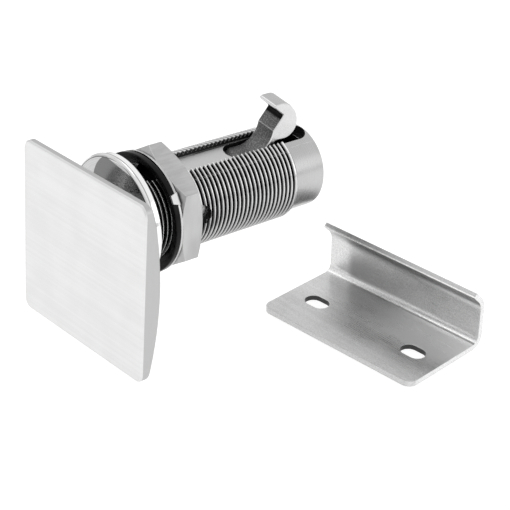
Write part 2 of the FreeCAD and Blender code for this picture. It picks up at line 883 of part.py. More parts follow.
os.makedirs("parts", exist_ok=True)
for piece in nodes:
    piece.Shape.exportStep(f"parts/{piece.Label}.step")
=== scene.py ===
"""Looks of the flush pull latch: brushed plate, polished barrel, rough hook and bent strike."""

from __future__ import annotations

import logging
import math
from dataclasses import dataclass
from enum import Enum

import bmesh
import bpy
from mathutils import Euler, Matrix, Vector


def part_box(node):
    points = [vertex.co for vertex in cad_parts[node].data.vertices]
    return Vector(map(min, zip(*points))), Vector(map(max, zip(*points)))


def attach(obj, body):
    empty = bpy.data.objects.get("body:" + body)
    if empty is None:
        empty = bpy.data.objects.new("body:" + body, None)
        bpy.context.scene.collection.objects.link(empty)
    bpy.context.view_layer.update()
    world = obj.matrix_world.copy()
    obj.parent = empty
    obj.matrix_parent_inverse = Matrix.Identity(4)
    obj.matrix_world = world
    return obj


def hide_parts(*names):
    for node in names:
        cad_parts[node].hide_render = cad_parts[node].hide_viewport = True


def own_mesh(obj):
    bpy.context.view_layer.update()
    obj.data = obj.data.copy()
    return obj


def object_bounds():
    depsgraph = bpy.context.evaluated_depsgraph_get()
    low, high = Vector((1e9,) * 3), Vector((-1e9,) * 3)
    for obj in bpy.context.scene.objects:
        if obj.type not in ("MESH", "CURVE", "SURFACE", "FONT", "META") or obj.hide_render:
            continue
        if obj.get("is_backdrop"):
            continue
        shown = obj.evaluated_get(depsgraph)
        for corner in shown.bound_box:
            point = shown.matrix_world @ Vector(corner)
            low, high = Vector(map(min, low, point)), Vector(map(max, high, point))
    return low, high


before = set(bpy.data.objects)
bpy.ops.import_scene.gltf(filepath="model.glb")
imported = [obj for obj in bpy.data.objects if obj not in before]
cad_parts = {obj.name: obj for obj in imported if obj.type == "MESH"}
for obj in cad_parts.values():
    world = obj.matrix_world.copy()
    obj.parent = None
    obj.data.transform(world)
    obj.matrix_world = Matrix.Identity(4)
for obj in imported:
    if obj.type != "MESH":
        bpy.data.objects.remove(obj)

LOG = logging.getLogger("flush_latch")

# Lengths are in metres, apart from those in the finishes' limits
MM = 0.001
BARREL_TURN = math.radians(9.2)
BARREL_ACROSS = (math.cos(BARREL_TURN), 0.0, -math.sin(BARREL_TURN))
BARREL_UP = (math.sin(BARREL_TURN), 0.0, math.cos(BARREL_TURN))
ALONG = (0.0, 1.0, 0.0)
UPWARD = (0.0, 0.0, 1.0)
UPPER_NEAR = (0.35, 0.0, 0.94)
OFF_AXIS = (1.0, 0.0, 1.0)
SHADE_HEIGHT = 0.0089
STRIKE_ORIGIN = Vector((0.00395, 0.05125, -0.04163))
STRIKE_ROTATION = Euler((math.radians(3.8), math.radians(0.4), math.radians(4.2))).to_matrix()
COIL_STEPS = 48
WIRE_SIDES = 16
SMOOTH_ANGLE = math.radians(40.0)
VECTOR = "NodeSocketVector"
NUMBER = "NodeSocketFloat"
NOWHERE = (0.0, 0.0, 0.0)
Triple = tuple[float, float, float]
Opaque = tuple[float, float, float, float]
Outfit = tuple[tuple[str, str], ...]
Socket = bpy.types.NodeSocket


def grey(value: float) -> Opaque:
    """An opaque neutral grey of one linear value, from 0 to 1."""
    return (value, value, value, 1.0)


class Grain(Enum):
    """How many noise cells a metre holds along X, Y and Z: few along the grain, many across it."""

    PLATE = (60.0, 900.0, 5200.0)
    NUT = (5200.0, 700.0, 60.0)
    STRIKE = (90.0, 3800.0, 3800.0)
    HOOK = (2600.0, 700.0, 700.0)


class Group(Enum):
    """The shader node groups that several finishes share."""

    STREAKS = "BrushedStreaks"
    TURNING = "TurningMarks"
    CLOUDS = "HandlingClouds"
    WEAR_AND_HIGHLIGHT = "EdgeWearAndHighlight"
    CAVITY = "CavityShade"


@dataclass(frozen=True)
class NodeBench:
    """A node tree with short ways to add and link its nodes."""

    tree: bpy.types.NodeTree

    def add(self, kind: str, **settings: object) -> bpy.types.Node:
        """Add one node.

        Args:
            kind: Blender's name of the node type.
            settings: Properties that the node gets.

        Returns:
            The new node.
        """
        made = self.tree.nodes.new(kind)
        for name, value in settings.items():
            setattr(made, name, value)
        return made

    def feed(self, target: Socket, source: object) -> None:
        """Give a socket a value or a link.

        Args:
            target: The input socket.
            source: Another socket, or a plain value.
        """
        if isinstance(source, Socket):
            self.tree.links.new(source, target)
        else:
            target.default_value = source

    def math(
        self, operation: str, first: object, second: object = 0.0, clamp: bool = False
    ) -> Socket:
        """One step of arithmetic.

        Args:
            operation: Blender's name of the operation.
            first: The first number or socket.
            second: The second number or socket.
            clamp: Whether the result stays within 0 and 1.

        Returns:
            The result's socket.
        """
        made = self.add("ShaderNodeMath", operation=operation, use_clamp=clamp)
        self.feed(made.inputs[0], first)
        self.feed(made.inputs[1], second)
        return made.outputs[0]

    def ramp(
        self, value: object, low: float, high: float, to_low: float = 0.0, to_high: float = 1.0
    ) -> Socket:
        """Map a range smoothly onto another, without going past its ends.

        Args:
            value: The number or socket to map.
            low: Where the range starts.
            high: Where the range ends.
            to_low: The result at the start.
            to_high: The result at the end.

        Returns:
            The result's socket.
        """
        made = self.add("ShaderNodeMapRange", interpolation_type="SMOOTHSTEP")
        for index, part in enumerate((value, low, high, to_low, to_high)):
            self.feed(made.inputs[index], part)
        return made.outputs[0]

    def mix(self, share: object, first: object, second: object, blend: str = "MIX") -> Socket:
        """Mix two colours.

        Args:
            share: How much of the second colour shows.
            first: The first colour or socket.
            second: The second colour or socket.
            blend: Blender's name of the way to mix.

        Returns:
            The mixed colour's socket.
        """
        made = self.add("ShaderNodeMix", data_type="RGBA", blend_type=blend)
        self.feed(made.inputs["Factor"], share)
        self.feed(made.inputs[6], first)
        self.feed(made.inputs[7], second)
        return made.outputs[2]

    def vector(self, operation: str, first: object, second: object) -> bpy.types.Node:
        """One step of vector arithmetic.

        Args:
            operation: Blender's name of the operation.
            first: The first vector or socket.
            second: The second vector or socket.

        Returns:
            The node, for its Vector or its Value output.
        """
        made = self.add("ShaderNodeVectorMath", operation=operation)
        self.feed(made.inputs[0], first)
        self.feed(made.inputs[1], second)
        return made

    def noise(
        self, vector: object, scale: float, detail: float = 3.0, roughness: float = 0.55
    ) -> Socket:
        """A fine three-dimensional noise.

        Args:
            vector: Where the noise is read.
            scale: Cells per unit of the vector.
            detail: How many finer layers it has.
            roughness: How strong those layers are.

        Returns:
            The noise value's socket, from 0 to 1.
        """
        made = self.add("ShaderNodeTexNoise")
        self.feed(made.inputs["Vector"], vector)
        made.inputs["Scale"].default_value = scale
        made.inputs["Detail"].default_value = detail
        made.inputs["Roughness"].default_value = roughness
        return made.outputs[0]

    def toward(self, vector: object, way: Triple | Vector) -> Socket:
        """How far a vector reaches along a direction."""
        return self.vector("DOT_PRODUCT", vector, tuple(way)).outputs["Value"]

    def blend(self, first: object, second: object, share: float) -> Socket:
        """The mean of two numbers, where the share from 0 to 1 is the second one's weight."""
        kept = self.math("MULTIPLY", first, 1.0 - share)
        return self.math("ADD", kept, self.math("MULTIPLY", second, share))

    def both(self, *masks: object) -> Socket:
        """Where every one of several masks holds.

        Args:
            masks: The masks' sockets, and shares from 0 to 1.

        Returns:
            The product's socket.
        """
        product = masks[0]
        for mask in masks[1:]:
            product = self.math("MULTIPLY", product, mask)
        return product

    def tone(self, mask: object, colour: object, value: float) -> Socket:
        """Turn a colour grey, of a value from 0 to 1, where a mask holds."""
        return self.mix(mask, colour, grey(value))

    def normal(self) -> Socket:
        """The surface's own normal, in the part's frame."""
        return self.add("ShaderNodeTexCoord").outputs["Normal"]


def new_group(
    kind: Group, inputs: dict[str, tuple[str, object]], outputs: dict[str, str]
) -> tuple[NodeBench, bpy.types.Node, bpy.types.Node]:
    """Start a shader node group with named sockets.

    Args:
        kind: Which group it is.
        inputs: Each input's name, with its socket type and its default value.
        outputs: Each output's name, with its socket type.

    Returns:
        The bench, the group's input node and its output node.
    """
    tree = bpy.data.node_groups.new(kind.value, "ShaderNodeTree")
    for name, (socket, default) in inputs.items():
        made = tree.interface.new_socket(name, in_out="INPUT", socket_type=socket)
        made.default_value = default
    for name, socket in outputs.items():
        tree.interface.new_socket(name, in_out="OUTPUT", socket_type=socket)
    bench = NodeBench(tree)
    return bench, bench.add("NodeGroupInput"), bench.add("NodeGroupOutput")


@dataclass(frozen=True)
class SharedEffects:
    """Builds the shader node groups, once each."""

    edge_radius: float = 0.00022
    edge_samples: int = 6
    edge_span: tuple[float, float] = (0.99, 0.80)
    cavity_samples: int = 8

    def build(self) -> None:
        """Make every shared group."""
        self.streaks()
        self.turning()
        self.clouds()
        self.edge_wear_and_highlight()
        self.cavity()

    def streaks(self) -> None:
        """Fine parallel brushing lines, stretched along the grain."""
        bench, entry, leave = new_group(
            Group.STREAKS,
            {"Position": (VECTOR, NOWHERE), "Cells": (VECTOR, (1.0, 1.0, 1.0))},
            {"Fine": NUMBER, "Broad": NUMBER},
        )
        cells = bench.vector("MULTIPLY", entry.outputs["Position"], entry.outputs["Cells"]).outputs[0]
        bench.feed(leave.inputs["Fine"], bench.noise(cells, scale=1.0, detail=4.0, roughness=0.7))
        bench.feed(leave.inputs["Broad"], bench.noise(cells, scale=0.16, detail=3.0, roughness=0.6))

    def turning(self) -> None:
        """Lathe lines that run round the barrel's axis, on faces and on round sides alike."""
        bench, entry, leave = new_group(
            Group.TURNING,
            {"Position": (VECTOR, NOWHERE), "Cells": (NUMBER, 5000.0)},
            {"Lines": NUMBER, "Radius": NUMBER},
        )
        flat = bench.vector("MULTIPLY", entry.outputs["Position"], OFF_AXIS).outputs[0]
        radius = bench.vector("LENGTH", flat, NOWHERE).outputs["Value"]
        split = bench.add("ShaderNodeSeparateXYZ")
        bench.feed(split.inputs[0], entry.outputs["Position"])
        join = bench.add("ShaderNodeCombineXYZ")
        bench.feed(join.inputs[0], bench.math("MULTIPLY", radius, entry.outputs["Cells"]))
        bench.feed(join.inputs[1], bench.math("MULTIPLY", split.outputs[1], entry.outputs["Cells"]))
        lines = bench.noise(join.outputs[0], scale=1.0, detail=3.0, roughness=0.6)
        bench.feed(leave.inputs["Lines"], lines)
        bench.feed(leave.inputs["Radius"], radius)

    def clouds(self) -> None:
        """Broad soft patches, as handling and uneven polishing leave."""
        bench, entry, leave = new_group(
            Group.CLOUDS,
            {"Position": (VECTOR, NOWHERE), "Patches": (NUMBER, 70.0)},
            {"Soft": NUMBER, "Specks": NUMBER},
        )
        spread = bench.vector("SCALE", entry.outputs["Position"], NOWHERE)
        bench.feed(spread.inputs["Scale"], entry.outputs["Patches"])
        place = spread.outputs[0]
        bench.feed(leave.inputs["Soft"], bench.noise(place, scale=1.0, detail=2.0, roughness=0.5))
        bench.feed(leave.inputs["Specks"], bench.noise(place, scale=24.0, detail=2.0, roughness=0.6))

    def edge_wear_and_highlight(self) -> None:
        """A mask of edges, from how far a rounded normal leaves the true one: rubbed edges, and painted edge
        highlights on metal.
        """
        bench, entry, leave = new_group(
            Group.WEAR_AND_HIGHLIGHT,
            {"Position": (VECTOR, NOWHERE), "Breakup": (NUMBER, 0.4)},
            {"Mask": NUMBER, "Normal": VECTOR},
        )
        bevel = bench.add("ShaderNodeBevel", samples=self.edge_samples)
        bevel.inputs["Radius"].default_value = self.edge_radius
        geometry = bench.add("ShaderNodeNewGeometry")
        likeness = bench.vector("DOT_PRODUCT", bevel.outputs[0], geometry.outputs["Normal"]).outputs["Value"]
        edge = bench.ramp(likeness, *self.edge_span)
        patches = bench.noise(entry.outputs["Position"], scale=900.0, detail=2.0, roughness=0.6)
        kept = bench.math("MULTIPLY", patches, entry.outputs["Breakup"])
        bench.feed(leave.inputs["Mask"], bench.math("SUBTRACT", edge, kept, clamp=True))
        bench.feed(leave.inputs["Normal"], bevel.outputs[0])

    def cavity(self) -> None:
        """How deep a point lies in a groove or corner, from 0 in the open to 1."""
        bench, entry, leave = new_group(
            Group.CAVITY,
            {"Reach": (NUMBER, 0.001), "Start": (NUMBER, 0.90), "End": (NUMBER, 0.45)},
            {"Depth": NUMBER},
        )
        hidden = bench.add("ShaderNodeAmbientOcclusion", samples=self.cavity_samples)
        bench.feed(hidden.inputs["Distance"], entry.outputs["Reach"])
        depth = bench.ramp(hidden.outputs["AO"], entry.outputs["Start"], entry.outputs["End"])
        bench.feed(leave.inputs["Depth"], depth)


class Kind(Enum):
    """What a measure reads off a surface."""

    PLACE = "how far a point reaches along a way"
    NORMAL = "how far the surface's normal reaches along a way"
    RADIUS = "how far a point lies from the barrel's axis"
    RISE = "how far the normal points away from that axis"
    CORNER = "how far a point lies above and beyond the flange's round shade"
    SPECKS = "how strong a fine noise is"


@dataclass(frozen=True)
class Measure:
    """A number read off a surface: a length, or a share from -1 to 1.

    The way is for places and normals, and the patches are for specks. The origin of a length is in
    millimetres. A measure that counts to either side has no sign.
    """

    kind: Kind
    way: Triple = ALONG
    origin: float = 0.0
    either_side: bool = False
    patches: float = 0.0

    @property
    def unit(self) -> float:
        """The size of one step of the number: a millimetre for lengths, and 1 for shares."""
        return MM if self.kind in (Kind.PLACE, Kind.RADIUS, Kind.CORNER) else 1.0

    def source(self, bench: NodeBench, position: Socket) -> Socket:
        """The number, before its origin is taken off.

        Args:
            bench: The material's nodes.
            position: Where a point lies on the part.

        Returns:
            The number's socket.
        """
        if self.kind is Kind.NORMAL:
            return bench.toward(bench.normal(), self.way)
        if self.kind is Kind.RADIUS:
            return use_group(bench, Group.TURNING, Position=position).outputs["Radius"]
        if self.kind is Kind.RISE:
            spoke = bench.vector("MULTIPLY", position, OFF_AXIS).outputs[0]
            outward = bench.vector("NORMALIZE", spoke, NOWHERE).outputs[0]
            return bench.vector("DOT_PRODUCT", bench.normal(), outward).outputs["Value"]
        if self.kind is Kind.CORNER:
            height = bench.math("SUBTRACT", bench.toward(position, BARREL_UP), SHADE_HEIGHT)
            corner = bench.add("ShaderNodeCombineXYZ")
            beyond = bench.math("MINIMUM", bench.toward(position, BARREL_ACROSS), 0.0)
            bench.feed(corner.inputs[0], beyond)
            bench.feed(corner.inputs[1], bench.math("MAXIMUM", height, 0.0))
            return bench.vector("LENGTH", corner.outputs[0], NOWHERE).outputs["Value"]
        if self.kind is Kind.SPECKS:
            clouds = use_group(bench, Group.CLOUDS, Position=position, Patches=self.patches)
            return clouds.outputs["Specks"]
        return bench.toward(position, self.way)

    def read(self, bench: NodeBench, position: Socket) -> Socket:
        """The number, counted from its origin.

        Args:
            bench: The material's nodes.
            position: Where a point lies on the part.

        Returns:
            The number's socket.
        """
        reach = self.source(bench, position)
        if self.origin:
            reach = bench.math("SUBTRACT", reach, self.origin * self.unit)
        return bench.math("ABSOLUTE", reach) if self.either_side else reach


@dataclass(frozen=True)
class Limit:
    """A smooth border: it goes from least to most while its measure goes from start to end.

    The start and end of a length are in millimetres. A limit can be measured itself, in units of 1.
    """

    measure: Measure | Limit
    start: float
    end: float
    least: float = 0.0
    most: float = 1.0
    unit: float = 1.0

    def read(self, bench: NodeBench, position: Socket) -> Socket:
        """The border's value at a point.

        Args:
            bench: The material's nodes.
            position: Where a point lies on the part.

        Returns:
            The value's socket.
        """
        step = self.measure.unit
        value = self.measure.read(bench, position)
        return bench.ramp(value, self.start * step, self.end * step, self.least, self.most)


@dataclass(frozen=True)
class Mask:
    """Where all of some limits hold, or all of some others, but not all of the spared ones.

    The share is how strong the mask is where it holds.
    """

    limits: tuple[Limit, ...]
    share: float = 1.0
    others: tuple[Limit, ...] = ()
    spared: tuple[Limit, ...] = ()

    def read(self, bench: NodeBench, position: Socket) -> Socket:
        """The mask's value at a point.

        Args:
            bench: The material's nodes.
            position: Where a point lies on the part.

        Returns:
            The value's socket.
        """
        value = bench.both(*(limit.read(bench, position) for limit in self.limits))
        if self.others:
            other = bench.both(*(limit.read(bench, position) for limit in self.others))
            value = bench.math("MAXIMUM", value, other)
        if self.spared:
            spared = bench.both(*(limit.read(bench, position) for limit in self.spared))
            value = bench.both(value, bench.math("SUBTRACT", 1.0, spared))
        return bench.both(value, self.share)


@dataclass(frozen=True)
class Coat:
    """A grey that covers a mask, with smaller coats on it; its label names its mix node."""

    label: str
    tone: float
    mask: Mask
    inner: tuple[Coat, ...] = ()

    def lay(self, bench: NodeBench, position: Socket, colour: object) -> Socket:
        """Lay the coat over a colour.

        Args:
            bench: The material's nodes.
            position: Where a point lies on the part.
            colour: The colour so far.

        Returns:
            The changed colour's socket.
        """
        paint = grey(self.tone)
        for coat in self.inner:
            paint = coat.lay(bench, position, paint)
        covered = bench.mix(self.mask.read(bench, position), colour, paint)
        covered.node.label = self.label
        return covered


@dataclass(frozen=True)
class MetalFinish:
    """One metal finish: its tones, gloss, grain, rubbed edges with painted edge highlights, and painted
    shade in hollows.

    Lengths are in metres, and shares and tones go from 0 to 1. A span is the part of a noise's range
    that the finish uses. Coats change the colour, polish makes the surface smoother, and dull rougher.
    """

    name: str
    light: float = 0.78
    dark: float = 0.62
    roughness: float = 0.3
    roughness_spread: float = 0.1
    grain: Grain | None = None
    turning_cells: float = 0.0
    tint: Triple = (1.0, 1.0, 1.0)
    # Painted shade that hollows get: its colour, strength and reach.
    groove_shade_colour: Triple = (0.05, 0.05, 0.05)
    groove_shade_share: float = 0.0
    groove_shade_reach: float = 0.0012
    edge_colour: Triple = (0.90, 0.90, 0.90)
    edge_share: float = 0.5
    bump: float = 0.12
    bump_height: float = 0.00001
    patches: float = 70.0
    tone_span: tuple[float, float] = (0.35, 0.65)
    gloss_span: tuple[float, float] = (0.3, 0.7)
    tone_clouds: float = 0.5
    gloss_clouds: float = 0.3
    coats: tuple[Coat, ...] = ()
    polish: tuple[Limit, ...] = ()
    dull: tuple[Mask, ...] = ()

    def build(self) -> bpy.types.Material:
        """Make the material.

        Returns:
            The new material.
        """
        bench, shader, output = new_material(self.name)
        shader.inputs["Metallic"].default_value = 1.0
        position = bench.add("ShaderNodeTexCoord").outputs["Object"]
        clouds = use_group(bench, Group.CLOUDS, Position=position, Patches=self.patches)
        fine, broad = self.lines(bench, position)
        tone = bench.ramp(bench.blend(broad, clouds.outputs["Soft"], self.tone_clouds), *self.tone_span)
        colour = bench.mix(tone, self.toned(self.dark), self.toned(self.light))
        for coat in self.coats:
            colour = coat.lay(bench, position, colour)
        edge_wear_and_highlight = use_group(bench, Group.WEAR_AND_HIGHLIGHT, Position=position)
        # Partly painted highlight: lighter edges stand both for rubbed edges and for light catching them.
        worn_and_highlit = bench.math("MULTIPLY", edge_wear_and_highlight.outputs["Mask"], self.edge_share)
        colour = bench.mix(worn_and_highlit, colour, (*self.edge_colour, 1.0))
        # Painted shade: hollows darken the more hidden they are, as thread roots and the hollow under the
        # hook's nose.
        if self.groove_shade_share:
            cavity = use_group(bench, Group.CAVITY, Reach=self.groove_shade_reach)
            groove_shade = bench.math("MULTIPLY", cavity.outputs["Depth"], self.groove_shade_share)
            colour = bench.mix(groove_shade, colour, (*self.groove_shade_colour, 1.0))
        bench.feed(shader.inputs["Base Color"], colour)
        low = self.roughness - self.roughness_spread
        high = self.roughness + self.roughness_spread
        rubbed = bench.blend(fine, clouds.outputs["Soft"], self.gloss_clouds)
        rough = bench.ramp(rubbed, *self.gloss_span, low, high)
        for limit in self.polish:
            rough = bench.math("MULTIPLY", rough, limit.read(bench, position))
        for mask in self.dull:
            rough = bench.math("ADD", rough, mask.read(bench, position), clamp=True)
        bench.feed(shader.inputs["Roughness"], rough)
        relief = bench.add("ShaderNodeBump")
        relief.inputs["Strength"].default_value = self.bump
        relief.inputs["Distance"].default_value = self.bump_height
        bench.feed(relief.inputs["Height"], fine)
        bench.feed(relief.inputs["Normal"], edge_wear_and_highlight.outputs["Normal"])
        bench.feed(shader.inputs["Normal"], relief.outputs[0])
        return output

    def toned(self, value: float) -> Opaque:
        """This finish's tint at one lightness, opaque."""
        return (*(value * part for part in self.tint), 1.0)

    def lines(self, bench: NodeBench, position: Socket) -> tuple[Socket, Socket]:
        """The finish's fine and broad lines: lathe marks, brushing, or plain specks.

        Args:
            bench: The material's nodes.
            position: Where a point lies on the part.

        Returns:
            The fine and the broad value's sockets.
        """
        if self.turning_cells:
            turned = use_group(bench, Group.TURNING, Position=position, Cells=self.turning_cells)
            return turned.outputs["Lines"], turned.outputs["Lines"]
        if self.grain is not None:
            brushed = use_group(bench, Group.STREAKS, Position=position, Cells=self.grain.value)
            return brushed.outputs["Fine"], brushed.outputs["Broad"]
        specks = use_group(bench, Group.CLOUDS, Position=position, Patches=self.patches)
        return specks.outputs["Specks"], specks.outputs["Soft"]


@dataclass(frozen=True)
class RubberFinish:
    """Black moulded rubber with a soft sheen and a little dust."""

    name: str
    tone: float = 0.003
    dust_tone: float = 0.03
    roughness: float = 0.24
    smoother: float = 0.06
    rougher: float = 0.12
    sheen: float = 0.14
    patches: float = 240.0
    rubbed_share: float = 0.35
    dusty_share: float = 0.25
    dust_span: tuple[float, float] = (0.45, 0.8)
    gloss_span: tuple[float, float] = (0.3, 0.7)
    bump: float = 0.25
    bump_height: float = 0.00003

    def build(self) -> bpy.types.Material:
        """Make the material.

        Returns:
            The new material.
        """
        bench, shader, output = new_material(self.name)
        shader.inputs["Metallic"].default_value = 0.0
        shader.inputs["Specular IOR Level"].default_value = self.sheen
        position = bench.add("ShaderNodeTexCoord").outputs["Object"]
        clouds = use_group(bench, Group.CLOUDS, Position=position, Patches=self.patches)
        edge_wear_and_highlight = use_group(bench, Group.WEAR_AND_HIGHLIGHT, Position=position)
        rubbed = bench.math("MULTIPLY", edge_wear_and_highlight.outputs["Mask"], self.rubbed_share)
        settled = bench.ramp(clouds.outputs["Soft"], *self.dust_span, 0.0, self.dusty_share)
        dusty = bench.math("ADD", rubbed, settled)
        bench.feed(shader.inputs["Base Color"], bench.tone(dusty, grey(self.tone), self.dust_tone))
        low = self.roughness - self.smoother
        high = self.roughness + self.rougher
        rough = bench.ramp(clouds.outputs["Soft"], *self.gloss_span, low, high)
        bench.feed(shader.inputs["Roughness"], rough)
        relief = bench.add("ShaderNodeBump")
        relief.inputs["Strength"].default_value = self.bump
        relief.inputs["Distance"].default_value = self.bump_height
        bench.feed(relief.inputs["Height"], clouds.outputs["Specks"])
        bench.feed(shader.inputs["Normal"], relief.outputs[0])
        return output


def new_material(name: str) -> tuple[NodeBench, bpy.types.Node, bpy.types.Material]:
    """Start a material with one shader.

    Args:
        name: The material's name.

    Returns:
        The bench, the shader node and the material.
    """
    made = bpy.data.materials.new(name)
    made.use_nodes = True
    made.node_tree.nodes.clear()
    bench = NodeBench(made.node_tree)
    shader = bench.add("ShaderNodeBsdfPrincipled")
    output = bench.add("ShaderNodeOutputMaterial")
    bench.feed(output.inputs["Surface"], shader.outputs[0])
    return bench, shader, made


def use_group(bench: NodeBench, kind: Group, **values: object) -> bpy.types.Node:
    """Place a shared group in a material.

    Args:
        bench: The material's nodes.
        kind: Which group.
        values: Values or sockets for the group's inputs.

    Returns:
        The group's node.
    """
    made = bench.add("ShaderNodeGroup", node_tree=bpy.data.node_groups[kind.value])
    for name, value in values.items():
        bench.feed(made.inputs[name], value)
    return made


# What the limits of the latch's finishes read
PLACE_ALONG = Measure(Kind.PLACE, ALONG)
HEIGHT = Measure(Kind.PLACE, BARREL_UP)
SIDEWAYS = Measure(Kind.PLACE, BARREL_ACROSS)
RADIUS = Measure(Kind.RADIUS)
FACES_BACK = Measure(Kind.NORMAL, ALONG)
FACES_UP = Measure(Kind.NORMAL, BARREL_UP)

PLATE_COATS = (
    # Painted shade: the plate's side faces are darker than its front.
    Coat("sides", 0.46, Mask((Limit(FACES_BACK, -0.60, -0.30),), 0.92)),
    Coat("back", 0.90, Mask((Limit(FACES_BACK, 0.40, 0.80),), 0.95)),
)

# The barrel's parts
BEHIND_FLANGE = Limit(PLACE_ALONG, 0.05, 0.15)
BEHIND_NUT = Limit(PLACE_ALONG, 8.0, 9.0)
BEFORE_NUT = Limit(PLACE_ALONG, 9.0, 8.0)
IN_THREAD = Limit(PLACE_ALONG, 53.1, 52.9)
PLAIN_END = Limit(PLACE_ALONG, 53.2, 53.8)
BEFORE_END = Limit(PLACE_ALONG, 64.95, 64.85)
RIM = (Limit(RADIUS, 18.0, 18.2), Limit(PLACE_ALONG, -0.05, -0.15))
RIM_EDGE = Limit(Measure(Kind.PLACE, ALONG, -1.55, either_side=True), 0.22, 0.10)
FLANGE_DARK_LINE = Limit(Measure(Kind.RADIUS, origin=17.65, either_side=True), 0.14, 0.06)
KEYWAY_FLOOR = (Limit(Measure(Kind.PLACE, BARREL_UP, 11.0, either_side=True), 0.08, 0.02), BEHIND_NUT)
MILLED_WALLS = (Limit(Measure(Kind.RISE, either_side=True), 0.46, 0.40), BEHIND_FLANGE, BEFORE_END)
FLANGE_SHADE = (
    Limit(Measure(Kind.CORNER), 10.35, 10.15),
    Limit(HEIGHT, 16.90, 16.80),
    Limit(FACES_BACK, -0.97, -0.995),
)
# Painted highlight: each upward facing crest of the thread turns near white.
LIT_CRESTS = (Limit(RADIUS, 13.40, 13.46), Limit(FACES_UP, 0.25, 0.85), BEHIND_FLANGE, IN_THREAD)
BESIDE_SLOT = (Limit(SIDEWAYS, -3.5, -3.8), Limit(PLACE_ALONG, 26.5, 28.0))

BARREL_COATS = (
    # Painted shade: faces turned away from above and the near side are darker.
    Coat("painted underside shade", 0.42, Mask((Limit(Measure(Kind.NORMAL, UPPER_NEAR), 0.20, -0.35),), 0.8)),
    Coat("plain end", 0.40, Mask((PLAIN_END,), 0.6)),
    # Painted shade: the thread's roots are near black, and so is the thread behind the flange, up to the
    # nut.
    Coat("painted groove shade", 0.012, Mask((Limit(RADIUS, 13.44, 13.00), BEHIND_FLANGE, IN_THREAD))),
    Coat("painted crest highlights", 0.96, Mask(LIT_CRESTS, 0.85)),
    Coat("painted shade on the hidden thread", 0.03, Mask((BEHIND_FLANGE, BEFORE_NUT, Limit(RADIUS, 13.46, 13.38)), 0.97)),
    Coat("flange shade", 0.19, Mask(FLANGE_SHADE), (
        Coat("its near side", 0.60, Mask((Limit(SIDEWAYS, -3.0, 7.0),))),
    )),
    # Painted highlight: a near white band round the flange's outer edge.
    Coat("painted rim highlight", 0.95, Mask((*RIM, Limit(PLACE_ALONG, -1.60, -1.30, 0.35, 0.9)))),
    # Painted reflection: thin dark lines where the flange's polished front meets its rounded edge.
    Coat("painted dark reflection on the rim's edge", 0.19, Mask((*RIM, RIM_EDGE), 0.6)),
    Coat("painted dark reflection line", 0.012, Mask((FLANGE_DARK_LINE, Limit(PLACE_ALONG, -2.1, -2.3)), 0.7)),
    Coat("keyway floor", 0.60, Mask(KEYWAY_FLOOR), (Coat("beside the slot", 0.12, Mask(BESIDE_SLOT)),)),
    # Painted shade: the keyway's milled side faces, and the inside of the tube seen through the slot, are
    # near black.
    Coat("painted shade on milled walls", 0.03, Mask(MILLED_WALLS)),
    Coat("painted bore shade", 0.19, Mask((Limit(RADIUS, 9.95, 9.85), BEFORE_END))),
)

WASHER_COATS = (
    # Painted shade: the washer's face within the rubber ring is near black.
    Coat("painted shade by the gasket", 0.01, Mask((Limit(RADIUS, 16.9, 16.6), Limit(PLACE_ALONG, 8.4, 8.3)))),
)

# The hook's parts
FLAT_ACROSS = Limit(Measure(Kind.NORMAL, BARREL_ACROSS, either_side=True), 0.50, 0.30)
ROUGH_FRONT = (FLAT_ACROSS, Limit(FACES_BACK, -0.30, -0.42), Limit(HEIGHT, 24.4, 23.9))
ROUGH_SWEEP = (FLAT_ACROSS, Limit(FACES_UP, 0.30, 0.45), Limit(HEIGHT, 16.9, 16.7))
CREASE = Limit(Measure(Kind.PLACE, BARREL_UP, 16.75, either_side=True), 0.22, 0.05)
GRAINS = Limit(Measure(Kind.SPECKS, patches=150.0), 0.46, 0.66)

HOOK_COATS = (
    # Painted shade: the hook's upward faces are a darker grey.
    Coat("painted top shade", 0.46, Mask((Limit(FACES_UP, 0.75, 0.95),), 0.8)),
    Coat("rough skin", 0.125, Mask(ROUGH_FRONT, others=ROUGH_SWEEP), (
        Coat("bright grains", 0.30, Mask((GRAINS,))),
        # Painted shade: the deep hollow under the nose is black.
        Coat("painted throat shade", 0.004, Mask((Limit(HEIGHT, 19.5, 20.2),))),
        # Painted highlight: a light line along the fold in the rough face.
        Coat("painted crease highlight", 0.60, Mask((CREASE, Limit(GRAINS, 0.0, 1.0, 0.5, 0.9)))),
    )),
)


def on_strike(way: Vector, place: float = 0.0, either_side: bool = False) -> Measure:
    """A length along a way of the strike, from a place in millimetres from its origin."""
    return Measure(Kind.PLACE, tuple(way), STRIKE_ORIGIN.dot(way) / MM + place, either_side)


# The strike's own ways and parts
ACROSS, DEPTH, UP = (STRIKE_ROTATION.col[axis].copy() for axis in range(3))
RIGHTWARD = on_strike(ACROSS)
SETBACK = on_strike(DEPTH)
ABOVE = on_strike(UP)
RISES = Measure(Kind.NORMAL, tuple(UP))
LEANS = Measure(Kind.NORMAL, tuple((UP - DEPTH).normalized()))
FACES_FRONT = Limit(Measure(Kind.NORMAL, tuple(DEPTH)), -0.80, -0.95)
CUT_ENDS = Limit(Measure(Kind.NORMAL, tuple(ACROSS), either_side=True), 0.97, 0.99)
WALL = (FACES_FRONT, Limit(SETBACK, 28.0, 30.0))
# Painted reflection: a dark patch on the wall's left half, strongest high up.
WALL_DARK_REFLECTION = (Limit(RIGHTWARD, 6.0, 9.5), Limit(RIGHTWARD, 34.0, 10.0), Limit(ABOVE, 13.0, 6.0, 0.35, 0.85))
# Painted light: the flat sheet is lighter near the wall and more so towards the right.
BASE_LIGHT_POOL = (
    Limit(RISES, 0.95, 0.99),
    Limit(SETBACK, 9.0, 17.0),
    Limit(RIGHTWARD, 18.0, 42.0, 0.2, 1.0),
)
